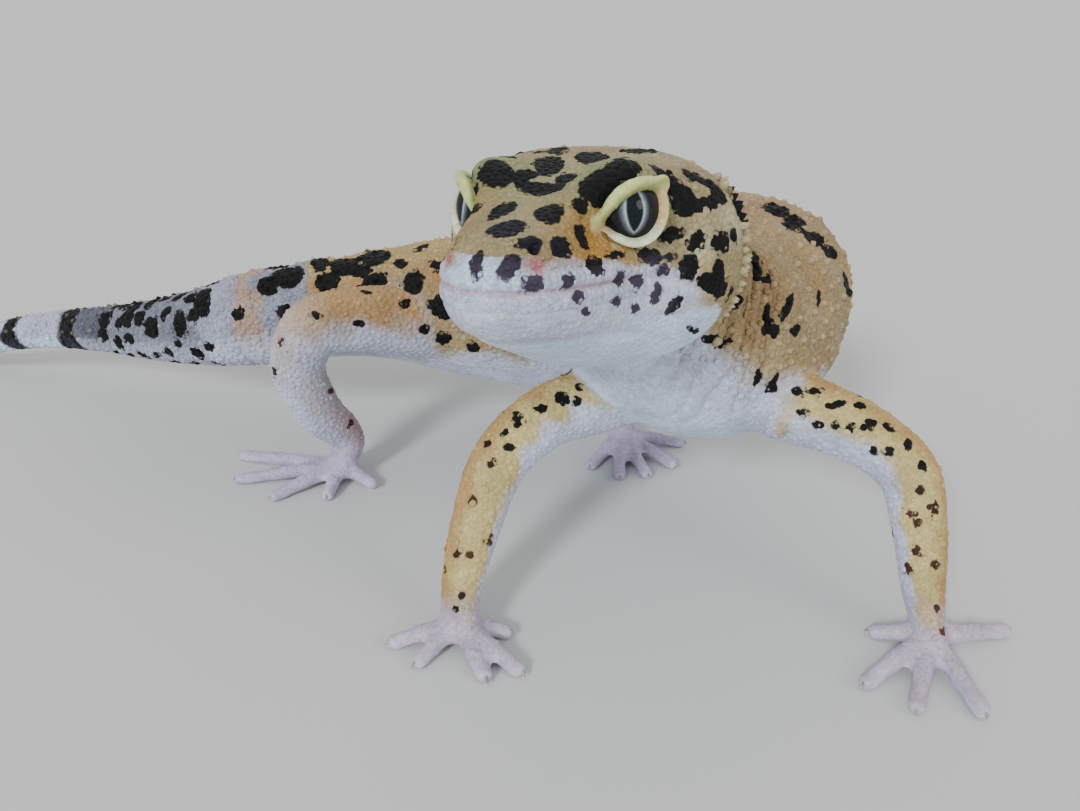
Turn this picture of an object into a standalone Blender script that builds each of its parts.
"""Leopard gecko (Eublepharis macularius), an adult standing on its four feet with its head raised.

It is modelled in millimetres, in a frame with +X to the animal's left as it looks out, +Y towards its
back and +Z up, and the root empty brings it to metres with the origin under the middle of its box.
Each long part is a loft along a smooth track: the body from skull to tail tip, and each limb from
the trunk to the palm. A track is parted into lengths, and what grows out of another part is cut by
that part's own surface, grown by the gap.
"""

import math

import bmesh
import bpy
import numpy as np
from mathutils import Matrix, Vector

MM = 0.001
GAP = 0.3  # between neighbouring solids

# Driving sizes, in millimetres.
HEAD_LENGTH = 30.0  # snout tip to nape
EYE_RADIUS = 3.1
EYE_BACK, EYE_OUT, EYE_UP = 14.0, 5.8, 4.8  # centre of the eyeball, from the snout tip
EYE_AZIMUTH, EYE_RISE = math.radians(38), math.radians(13)  # where the pupil points, from dead ahead
LID_TILT = math.radians(27)  # the rear corner of the eye is higher than the front one
SNOUT_TIP = Vector((-4.3, 55.8, 42.8))
HEAD_YAW, HEAD_PITCH, HEAD_ROLL = (math.radians(a) for a in (23.5, 4.0, 2.5))

SKIN = {
    "head": (0.62, 0.50, 0.26),
    "jaw": (0.72, 0.72, 0.80),
    "trunk": (0.60, 0.44, 0.20),
    "tail": (0.42, 0.43, 0.47),
    "limb": (0.60, 0.47, 0.24),
    "foot": (0.66, 0.58, 0.66),
    "eye": (0.10, 0.11, 0.12),
}

root = None


# Tracks and lofts


class Track:
    """A smooth curve through rows of numbers, the first three a place, read at any length along it."""

    def __init__(self, rows):
        self.rows = np.array(rows, float)
        steps = np.linalg.norm(np.diff(self.rows[:, :3], axis=0), axis=1)
        self.at = np.concatenate([[0.0], np.cumsum(steps)])
        self.length = float(self.at[-1])
        self.slopes = np.gradient(self.rows, self.at, axis=0)

    def __call__(self, s):
        s = min(max(s, 0.0), self.length)
        i = min(int(np.searchsorted(self.at, s, side="right")) - 1, len(self.at) - 2)
        span = self.at[i + 1] - self.at[i]
        t = (s - self.at[i]) / span
        a, b = self.rows[i], self.rows[i + 1]
        p, q = self.slopes[i] * span, self.slopes[i + 1] * span
        return (
            (2 * t**3 - 3 * t**2 + 1) * a
            + (t**3 - 2 * t**2 + t) * p
            + (3 * t**2 - 2 * t**3) * b
            + (t**3 - t**2) * q
        )

    def tangent(self, s, reach=0.5):
        ahead, behind = self(s + reach)[:3], self(s - reach)[:3]
        return (ahead - behind) / np.linalg.norm(ahead - behind)


def table(rows):
    """A track along one number: rows are (place, values...), read as f(place)."""
    track = Track([(row[0], 0, 0, *row[1:]) for row in rows])
    start = rows[0][0]
    return lambda place: track(place - start)[3:]


def section(sides, left, right, top, bottom, square=2.3):
    """A closed oval of (across, up) pairs, from the left side over the top."""
    turns = np.arange(sides) * 2 * math.pi / sides
    c, s = np.cos(turns), np.sin(turns)
    across = np.sign(c) * np.abs(c) ** (2 / square) * np.where(c > 0, left, right)
    up = np.sign(s) * np.abs(s) ** (2 / square) * np.where(s > 0, top, bottom)
    return np.stack([across, up], axis=1)


def turn_outward(mesh):
    shape = bmesh.new()
    shape.from_mesh(mesh)
    bmesh.ops.recalc_face_normals(shape, faces=shape.faces)
    shape.to_mesh(mesh)
    shape.free()
    mesh.update()


def make_object(name, points, faces, colour=None, roughness=0.55):
    """A mesh object in millimetres under the root. Without a colour it is a guide that only cuts."""
    mesh = bpy.data.meshes.new(name)
    mesh.from_pydata([tuple(p) for p in points], [], faces)
    turn_outward(mesh)
    made = bpy.data.objects.new(name, mesh)
    bpy.context.scene.collection.objects.link(made)
    made.parent = root
    if colour is None:
        made.hide_render = True
        made.display_type = "WIRE"
        return made
    material = bpy.data.materials.new(name)
    material.use_nodes = True
    shader = material.node_tree.nodes["Principled BSDF"]
    shader.inputs["Base Color"].default_value = (*colour, 1)
    shader.inputs["Roughness"].default_value = roughness
    shader.inputs["Metallic"].default_value = 0.0
    mesh.materials.append(material)
    mesh.shade_smooth()
    return made


def skin_rings(rings, nose=None, tail=None):
    """Points and faces of a closed loft through rings. Each end is flat, or drawn out to a point."""
    sides = len(rings[0])
    points = [p for ring in rings for p in ring]
    faces = []
    for k in range(len(rings) - 1):
        a, b = k * sides, (k + 1) * sides
        for j in range(sides):
            n = (j + 1) % sides
            faces.append((a + j, a + n, b + n, b + j))
    last = (len(rings) - 1) * sides
    if nose is None:
        faces.append(tuple(range(sides - 1, -1, -1)))
    else:
        points.append(nose)
        faces += [(len(points) - 1, (j + 1) % sides, j) for j in range(sides)]
    if tail is None:
        faces.append(tuple(range(last, last + sides)))
    else:
        points.append(tail)
        faces += [(len(points) - 1, last + j, last + (j + 1) % sides) for j in range(sides)]
    return points, faces


def add_boolean(target, operation, cutter, solver="EXACT"):
    step = target.modifiers.new(operation.title(), "BOOLEAN")
    step.operation = operation
    step.solver = solver
    step.object = cutter
    return step


# The head's own frame: back from the snout tip, out to the animal's left, up from the line of the mouth.


def head_axes():
    ahead = Vector((-math.sin(HEAD_YAW), -math.cos(HEAD_YAW), 0))
    left = Vector((math.cos(HEAD_YAW), -math.sin(HEAD_YAW), 0))
    up = Vector((0, 0, 1))
    ahead, up = (
        ahead * math.cos(HEAD_PITCH) + up * math.sin(HEAD_PITCH),
        up * math.cos(HEAD_PITCH) - ahead * math.sin(HEAD_PITCH),
    )
    left, up = (
        left * math.cos(HEAD_ROLL) + up * math.sin(HEAD_ROLL),
        up * math.cos(HEAD_ROLL) - left * math.sin(HEAD_ROLL),
    )
    return ahead, left, up


AHEAD, LEFT, UP = head_axes()


def head_point(back, out, up):
    return SNOUT_TIP - AHEAD * back + LEFT * out + UP * up


# half width, crown height, chin depth and squareness of the upper and lower half, back from the snout
head_sizes = table(
    [
        (0.0, 2.0, 2.9, 1.6, 2.0, 2.0),
        (1.5, 3.8, 4.1, 3.0, 2.1, 2.1),
        (4.0, 5.5, 5.1, 4.4, 2.3, 2.2),
        (7.0, 6.7, 6.0, 5.7, 2.6, 2.2),
        (10.0, 7.7, 6.8, 7.0, 3.0, 2.2),
        (13.5, 9.2, 7.9, 8.5, 3.0, 2.2),
        (17.0, 11.4, 8.8, 9.7, 2.8, 2.2),
        (21.0, 13.4, 9.4, 10.6, 2.7, 2.2),
        (24.5, 13.8, 9.5, 11.2, 2.6, 2.2),
        (27.5, 12.5, 9.2, 11.7, 2.4, 2.2),
        (HEAD_LENGTH, 11.0, 9.0, 12.0, 2.25, 2.25),
    ]
)


def bump(back, angle, at_back, at_angle, height, long, wide):
    """A soft swelling of the head, alike on both sides. Angles are in degrees above the mouth."""
    aside = abs((angle + 180) % 360 - 180)
    aside = aside if aside <= 90 else 180 - aside
    level = aside if math.sin(math.radians(angle)) >= 0 else -aside
    return height * math.exp(-(((back - at_back) / long) ** 2) - ((level - at_angle) / wide) ** 2)


def head_relief(back, angle):
    brow = bump(back, angle, 12.7, 54, 2.1, 4.0, 17)
    socket = bump(back, angle, 14.0, 24, -0.9, 3.0, 14)
    dip_between = bump(back, angle, 10.5, 88, -0.5, 4.0, 22)
    loreal = bump(back, angle, 9.8, 34, -2.0, 2.8, 14)
    cheek = bump(back, angle, 20.5, 2, 0.5, 4.0, 20)
    return brow + socket + dip_between + loreal + cheek


def head_ring(back, sides):
    half, crown, chin, upper, lower = head_sizes(back)
    ring = []
    for j in range(sides):
        turn = 2 * math.pi * j / sides
        c, s = math.cos(turn), math.sin(turn)
        square = upper if s > 0 else lower
        out = math.copysign(abs(c) ** (2 / square), c) * half
        up = math.copysign(abs(s) ** (2 / square), s) * (crown if s > 0 else chin)
        swell = head_relief(back, math.degrees(math.atan2(up, out)))
        reach = math.hypot(out, up)
        ring.append(head_point(back, out * (1 + swell / reach), up * (1 + swell / reach)))
    return ring


def head_rings(sides, step):
    places = [0.0, 0.7, 1.6] + list(np.linspace(3.0, HEAD_LENGTH, int((HEAD_LENGTH - 3) / step) + 1))
    return [head_ring(back, sides) for back in places]


MOUTH_CORNER = 18.0  # back from the snout tip
MOUTH_START, MOUTH_FALL, MOUTH_DROOP = 0.85, 0.055, 0.035
DROOP_FROM = 11.0


def mouth_height(back):
    """The line of the lips, nearly level along the snout and drooping to the corner of the mouth."""
    return MOUTH_START - MOUTH_FALL * back - MOUTH_DROOP * max(0.0, back - DROOP_FROM) ** 2


JAW_HINGE = 24.0


def jaw_block(name, shift):
    """The room that the lower jaw takes: all under the lips and in front of a slant behind the jaw."""
    outline = [(back, mouth_height(back) - shift) for back in np.linspace(-3.0, MOUTH_CORNER, 8)]
    outline += [(20.5 - shift, -2.4 - shift), (JAW_HINGE - shift, -6.5), (JAW_HINGE + 2 - shift, -14.0)]
    outline += [(-3.0, -14.0)]
    wide = 20.0
    points = [head_point(back, out, up) for out in (-wide, wide) for back, up in outline]
    count = len(outline)
    faces = [tuple(range(count)), tuple(range(2 * count - 1, count - 1, -1))]
    faces += [(j, j + count, (j + 1) % count + count, (j + 1) % count) for j in range(count)]
    return make_object(name, points, faces)


# Eyes and lids


def eye_frame(side):
    """Centre of the eyeball, where it looks, and its own rear and upward directions. side is 1 for left."""
    centre = head_point(EYE_BACK, side * EYE_OUT, EYE_UP)
    level = AHEAD * math.cos(EYE_AZIMUTH) + LEFT * side * math.sin(EYE_AZIMUTH)
    look = level * math.cos(EYE_RISE) + UP * math.sin(EYE_RISE)
    rear = (LEFT * side * math.cos(EYE_AZIMUTH) - AHEAD * math.sin(EYE_AZIMUTH)).normalized()
    up = (UP - look * UP.dot(look)).normalized()
    tilted_rear = rear * math.cos(LID_TILT) + up * math.sin(LID_TILT)
    tilted_up = up * math.cos(LID_TILT) - rear * math.sin(LID_TILT)
    return centre, look, tilted_rear, tilted_up


def ball(name, centre, radius, sides, rings, look=Vector((0, 0, 1)), colour=None, roughness=0.1):
    """A ball whose pole looks along the given direction."""
    one = look.orthogonal().normalized()
    two = look.cross(one)
    loops = []
    for k in range(1, rings):
        polar = math.pi * k / rings
        loops.append(
            [
                centre
                + (one * math.cos(a) + two * math.sin(a)) * radius * math.sin(polar)
                + look * radius * math.cos(polar)
                for a in (2 * math.pi * j / sides for j in range(sides))
            ]
        )
    points, faces = skin_rings(loops, centre + look * radius, centre - look * radius)
    return make_object(name, points, faces, colour, roughness)


# The edge of each lid on the ball: turn about the look from the rear corner, angle away from the look.
UPPER_LID = (
    *((180, 54), (163, 38), (147, 27), (120, 21), (90, 19)),
    *((65, 21), (42, 27), (25, 37), (12, 50), (0, 64)),
)
LOWER_LID = ((180, 54), (192, 47), (216, 43), (250, 46), (278, 48), (307, 49), (340, 56), (358, 64))
LID_RISE = 0.75  # the middle of a lid above the ball
LID_REACH = 7  # the middle of a lid from its edge, in degrees


def lid(name, side, upper):
    """A rounded band along the edge of a lid. The upper one is thicker, and its rear tip stands out."""
    centre, look, rear, up = eye_frame(side)
    edge, thick, overhang = (UPPER_LID, 0.8, 0.5) if upper else (LOWER_LID, 0.55, 0.0)
    path = []
    for k, (turn, away) in enumerate(edge):
        share = k / (len(edge) - 1)
        turn, away = math.radians(turn), math.radians(away + LID_REACH)
        aside = rear * math.cos(turn) + up * math.sin(turn)
        rise = EYE_RADIUS + LID_RISE + overhang * share**2
        path.append(centre + (look * math.cos(away) + aside * math.sin(away)) * rise)
    rings = []
    sides = 6
    for k, middle in enumerate(path):
        share = k / (len(path) - 1)
        along = (path[min(k + 1, len(path) - 1)] - path[max(k - 1, 0)]).normalized()
        outward = (middle - centre).normalized()
        across = along.cross(outward).normalized()
        size = thick * (0.45 + 0.55 * math.sin(math.pi * (0.08 + 0.84 * share)))
        rings.append(
            [
                middle + (across * math.cos(a) + outward * math.sin(a)) * size
                for a in (2 * math.pi * j / sides for j in range(sides))
            ]
        )
    points, faces = skin_rings(rings)
    return make_object(name, points, faces)


def ear_pit(name, side):
    """The open ear, an upright oval hollow behind the jaw."""
    centre = head_point(25.6, side * 13.1, 0.6)
    loops = ball(name, Vector((0, 0, 0)), 1.0, 10, 5)
    for vertex in loops.data.vertices:
        x, y, z = vertex.co
        vertex.co = centre + AHEAD * x * 0.95 + LEFT * y * 1.3 + UP * z * 1.9
    return loops


def make_head():
    sides = 32
    rings = head_rings(sides, 2.0)
    points, faces = skin_rings(rings, nose=head_point(-0.35, 0, 0.25))
    head = make_object("head", points, faces, SKIN["head"])
    jaw = make_object("jaw", points, faces, SKIN["jaw"])
    sockets = []
    for side, word in ((1, "left"), (-1, "right")):
        centre, look = eye_frame(side)[:2]
        ball(f"eye_{word}", centre, EYE_RADIUS, 14, 8, look, SKIN["eye"])
        sockets.append(ball(f"socket_{word}", centre, EYE_RADIUS + GAP, 14, 8, look))
        for upper in (True, False):
            rim = lid(f"{'upper' if upper else 'lower'}_lid_{word}", side, upper)
            add_boolean(head, "UNION", rim, "MANIFOLD")
    for socket in sockets:
        add_boolean(head, "DIFFERENCE", socket, "MANIFOLD")
    for side, word in ((1, "left"), (-1, "right")):
        add_boolean(head, "DIFFERENCE", ear_pit(f"ear_pit_{word}", side))
    add_boolean(head, "DIFFERENCE", jaw_block("above_slit", -GAP / 2))
    add_boolean(jaw, "INTERSECT", jaw_block("below_slit", GAP / 2))


# The body's track. Rows: place, half width to the left and right, height and depth of the section.

nape = head_point(HEAD_LENGTH, 0, 0)
inside_skull = head_point(HEAD_LENGTH - 5, 0, 0)
body = Track(
    [
        (*inside_skull, 11.0, 11.0, 9.0, 12.0),
        (*nape, 11.0, 11.0, 9.0, 12.0),
        (10.8, 88.4, 37.4, 10.6, 10.6, 8.9, 12.6),
        (14.8, 91.4, 32.6, 11.6, 11.6, 9.6, 14.6),
        (20.6, 96.2, 29.0, 14.0, 10.8, 11.8, 15.8),
        (24.4, 103.2, 28.4, 15.0, 9.8, 12.6, 15.2),
        (21.6, 110.8, 28.0, 15.4, 9.6, 12.2, 14.6),
        (12.6, 114.6, 27.2, 15.4, 11.0, 11.2, 14.8),
        (2.0, 114.4, 26.0, 14.8, 12.8, 10.0, 14.4),
        (-8.0, 115.6, 24.8, 12.4, 11.9, 8.8, 12.4),
        (-16.5, 117.0, 23.8, 10.2, 10.2, 8.0, 10.0),
        (-25.0, 117.6, 22.9, 8.2, 8.2, 7.3, 8.0),
        (-33.5, 117.2, 22.0, 7.2, 7.2, 7.0, 7.2),
        (-42.0, 117.4, 20.6, 7.0, 7.0, 7.0, 7.0),
        (-50.0, 119.6, 18.6, 6.0, 6.0, 6.0, 6.0),
        (-60.0, 124.0, 16.4, 4.9, 4.9, 4.9, 4.9),
        (-71.0, 129.8, 14.4, 3.9, 3.9, 3.9, 3.9),
        (-83.0, 135.8, 12.2, 3.3, 3.3, 3.3, 3.3),
        (-95.0, 141.0, 9.3, 2.9, 2.9, 2.9, 2.9),
        (-105.0, 145.2, 5.6, 2.4, 2.4, 2.4, 2.4),
        (-112.5, 148.4, 2.6, 1.9, 1.9, 1.9, 1.9),
        (-119.0, 151.4, 1.15, 1.3, 1.3, 1.3, 1.3),
        (-123.5, 153.6, 0.65, 0.8, 0.8, 0.8, 0.8),
    ]
)
BODY_PARTS = (  # node, first and last row of the track, sides, spacing of rings, colour
    ("neck", 1, 3, 28, 2.4, "head"),
    ("chest", 3, 5, 28, 2.5, "trunk"),
    ("belly", 5, 8, 28, 2.8, "trunk"),
    ("pelvis", 8, 11, 24, 3.0, "trunk"),
    ("tail_base", 11, 15, 18, 3.4, "tail"),
    ("tail_middle", 15, 18, 14, 3.6, "tail"),
    ("tail_tip", 18, 22, 12, 3.4, "tail"),
)


NECK_AHEAD = 2.5  # the neck starts inside the skull, which then squares off its front
BEND_REACH = 7.0  # the sections turn with the bend over this length, so that none crosses the next


def body_ring(s, sides, grow=0.0):
    row = body(s)
    reach = min(BEND_REACH, 0.5 + 0.5 * abs(s - body.at[1]))
    along = Vector(body.tangent(s, reach))
    left = along.cross(Vector((0, 0, 1))).normalized()
    up = left.cross(along)
    pairs = section(sides, *(row[3:7] + grow), 2.25)
    return [Vector(row[:3]) + left * a + up * b for a, b in pairs]


def body_length(name, first, last, sides, step, grow=0.0, trim=GAP / 2, ahead=0.0, colour=None):
    start, end = body.at[first] + trim - ahead, body.at[last] - trim
    count = max(3, round((end - start) / step) + 1)
    rings = [body_ring(s, sides, grow) for s in np.linspace(start, end, count)]
    point = None
    if last == len(body.at) - 1:
        point = Vector(body(end)[:3]) + Vector(body.tangent(end)) * 0.8
    points, faces = skin_rings(rings, tail=point)
    return make_object(name, points, faces, colour)


def make_body():
    for name, first, last, sides, step, tone in BODY_PARTS:
        ahead = NECK_AHEAD if name == "neck" else 0.0
        made = body_length(name, first, last, sides, step, ahead=ahead, colour=SKIN[tone])
        if name == "neck":
            add_boolean(made, "DIFFERENCE", skull_block())
        if name == "tail_tip":
            add_boolean(made, "DIFFERENCE", floor_block())


def box_guide(name, corners):
    """A closed box from its eight corners, the lower four first, each four in rows of two."""
    faces = [(0, 1, 3, 2), (4, 6, 7, 5), (0, 4, 5, 1), (2, 3, 7, 6), (0, 2, 6, 4), (1, 5, 7, 3)]
    return make_object(name, corners, faces)


def skull_block():
    """The room ahead of the nape, with the gap behind it."""
    spans = [(back, out, up) for up in (-22, 22) for out in (-22, 22) for back in (-5, HEAD_LENGTH + GAP)]
    return box_guide("skull_room", [head_point(*place) for place in spans])


def floor_block():
    """Everything under the level that the animal stands on."""
    if "floor" in bpy.data.objects:
        return bpy.data.objects["floor"]
    return box_guide("floor", [(x, y, z) for z in (-9, 0) for y in (30, 190) for x in (-160, 90)])


# Limbs. Rows: place, half thickness across the bend and within it. The last row is the front of the palm.

LIMBS = {
    "left_arm": (
        [
            (22.0, 90.5, 22.5, 4.6, 4.8),
            (29.6, 85.8, 20.6, 4.2, 4.4),
            (36.0, 82.2, 19.0, 3.5, 3.7),
            (40.0, 79.2, 16.2, 3.1, 3.4),
            (41.2, 76.0, 10.5, 2.85, 2.95),
            (41.2, 71.8, 4.3, 2.7, 2.2),
            (41.3, 68.6, 1.3, 3.3, 1.5),
        ],
        (3, 5),
        [(36.2, 71.3), (32.6, 63.6), (36.4, 60.4), (42.4, 59.8), (50.4, 71.4)],
    ),
    "right_arm": (
        [
            (15.0, 92.5, 22.5, 4.6, 4.8),
            (7.4, 88.5, 20.8, 4.1, 4.3),
            (0.4, 84.0, 20.2, 3.5, 3.7),
            (-4.4, 79.6, 17.2, 3.1, 3.4),
            (-7.0, 76.8, 10.8, 2.85, 2.95),
            (-8.6, 73.4, 4.3, 2.7, 2.2),
            (-8.8, 70.6, 1.3, 3.3, 1.5),
        ],
        (3, 5),
        [(-3.6, 71.2), (-2.2, 65.4), (-5.6, 64.6), (-12.6, 66.6), (-15.6, 69.6)],
    ),
    "right_leg": (
        [
            (-8.0, 114.6, 22.6, 4.8, 5.4),
            (-16.6, 109.4, 22.8, 4.6, 5.2),
            (-24.6, 106.2, 24.2, 4.1, 4.6),
            (-30.2, 103.9, 23.6, 3.8, 4.2),
            (-32.4, 103.3, 19.2, 3.5, 3.8),
            (-31.0, 104.4, 12.0, 3.1, 3.4),
            (-28.0, 107.4, 4.4, 2.7, 2.4),
            (-29.6, 105.6, 1.05, 3.4, 1.6),
        ],
        (4, 6),
        [(-23.8, 102.8), (-29.6, 99.6), (-37.0, 99.4), (-43.4, 104.2), (-45.2, 111.4)],
    ),
    "left_leg": (
        [
            (-8.0, 124.0, 23.6, 5.2, 6.0),
            (-9.0, 132.0, 23.2, 4.9, 5.4),
            (-2.0, 136.6, 21.6, 4.2, 4.6),
            (4.6, 136.4, 17.4, 3.6, 4.0),
            (9.0, 129.0, 10.6, 3.1, 3.4),
            (11.6, 119.6, 4.6, 2.7, 2.4),
            (12.8, 115.6, 1.35, 3.4, 1.6),
        ],
        (3, 5),
        [(7.6, 108.2), (11.6, 105.2), (15.6, 105.6), (19.8, 108.6), (22.0, 115.6)],
    ),
}
PIECE_NAMES = {
    "left_arm": ("left_upper_arm", "left_forearm", "left_hand"),
    "right_arm": ("right_upper_arm", "right_forearm", "right_hand"),
    "right_leg": ("right_thigh", "right_shank", "right_foot"),
    "left_leg": ("left_thigh", "left_shank", "left_foot"),
}


def bend_normal(track, joints):
    """The axis that a limb bends about, which its sections keep to."""
    start, knee, end = (Vector(track.rows[k][:3]) for k in (1, joints[0], joints[1]))
    return (knee - start).cross(end - knee).normalized()


LIMB_REACH = 3.0  # the sections of a limb turn through its joints over this length


def limb_ring(track, s, sides, normal):
    row = track(s)
    along = Vector(track.tangent(s, LIMB_REACH))
    across = (normal - along * normal.dot(along)).normalized()
    within = along.cross(across)
    return [
        Vector(row[:3]) + across * a + within * b
        for a, b in section(sides, row[3], row[3], row[4], row[4], 2.1)
    ]


def limb_length(name, track, normal, start, end, sides, step, closed_end=False):
    count = max(3, round((end - start) / step) + 1)
    rings = [limb_ring(track, s, sides, normal) for s in np.linspace(start, end, count)]
    tip = Vector(track(end)[:3]) + Vector(track.tangent(end)) * 1.2 if closed_end else None
    return (name, *skin_rings(rings, tail=tip))


DIGIT_ROOT, DIGIT_TIP = 1.2, 0.9  # half thickness of a finger at both ends
CLAW_LENGTH = 1.1
FLOOR_BITE = 0.12  # how far a finger presses into its flat


def digit(name, root_place, tip, sides=6):
    """A finger from inside the palm to its claw, arched a little over the floor."""
    start = Vector((root_place.x, root_place.y, 1.25))
    end = Vector((tip[0], tip[1], DIGIT_TIP * math.cos(math.pi / sides) - FLOOR_BITE))
    ahead = Vector((end.x - start.x, end.y - start.y, 0)).normalized()
    across = Vector((ahead.y, -ahead.x, 0))
    shares = (
        (0.0, 0.0, DIGIT_ROOT),
        (0.45, 0.35, DIGIT_ROOT),
        (0.92, 0.0, DIGIT_TIP),
        (1.02, -0.05, DIGIT_TIP * 0.65),
        (1.05, -0.1, 0.3),
    )
    rings = []
    for share, lift, size in shares:
        middle = start.lerp(end, share) + Vector((0, 0, lift))
        rings.append(
            [
                middle + (across * math.cos(a) + Vector((0, 0, 1)) * math.sin(a)) * size
                for a in (2 * math.pi * j / sides for j in range(sides))
            ]
        )
    claw = end + ahead * CLAW_LENGTH + Vector((0, 0, -0.35))
    points, faces = skin_rings(rings, tail=claw)
    return make_object(name, points, faces)


def make_limb(limb):
    rows, joints, tips = LIMBS[limb]
    upper, lower, end = PIECE_NAMES[limb]
    track = Track(rows)
    normal = bend_normal(track, joints)
    knee, wrist = track.at[joints[0]], track.at[joints[1]] - 1.0
    name, points, faces = limb_length(upper, track, normal, 0.0, knee - GAP / 2, 12, 2.8)
    made = make_object(name, points, faces, SKIN["limb"])
    for guide in trunk_guides(limb):
        add_boolean(made, "DIFFERENCE", guide)
    name, points, faces = limb_length(lower, track, normal, knee + GAP / 2, wrist - GAP / 2, 12, 2.6)
    make_object(name, points, faces, SKIN["limb"])
    name, points, faces = limb_length(
        end, track, normal, wrist + GAP / 2, track.length, 12, 1.2, closed_end=True
    )
    hand = make_object(name, points, faces, SKIN["foot"])
    heel = Vector(track(track.length - 1.2)[:3])
    for k, tip in enumerate(tips):
        add_boolean(hand, "UNION", digit(f"{end}_digit_{k + 1}", heel, tip))
    add_boolean(hand, "DIFFERENCE", floor_block())


def trunk_guides(limb):
    """The trunk's lengths near a limb, grown by the gap, as one overlapping set of cutters."""
    first, last = (2, 6) if limb.endswith("arm") else (7, 12)
    name = "arm_guide" if limb.endswith("arm") else "leg_guide"
    if name not in bpy.data.objects:
        body_length(name, first, last, 30, 2.4, grow=GAP, trim=0.0)
    return [bpy.data.objects[name]]


def main():
    global root
    for old in list(bpy.data.objects):
        bpy.data.objects.remove(old, do_unlink=True)
    root = bpy.data.objects.new("root", None)
    bpy.context.scene.collection.objects.link(root)
    make_head()
    make_body()
    for limb in LIMBS:
        make_limb(limb)
    settle_root()


def settle_root():
    """Brings the model to metres, with the origin under the middle of its box."""
    graph = bpy.context.evaluated_depsgraph_get()
    corners = []
    for made in bpy.data.objects:
        if made.type == "MESH" and not made.hide_render:
            mesh = made.evaluated_get(graph).to_mesh()
            spots = np.empty(len(mesh.vertices) * 3)
            mesh.vertices.foreach_get("co", spots)
            spots = spots.reshape(-1, 3)
            corners += [spots.min(axis=0), spots.max(axis=0)]
    low, high = np.min(corners, axis=0), np.max(corners, axis=0)
    middle = Vector(((low[0] + high[0]) / 2, (low[1] + high[1]) / 2, low[2]))
    root.matrix_world = Matrix.Scale(MM, 4) @ Matrix.Translation(-middle)
    print("box in millimetres", (high - low).round(2), "middle", [round(v, 2) for v in middle])


main()
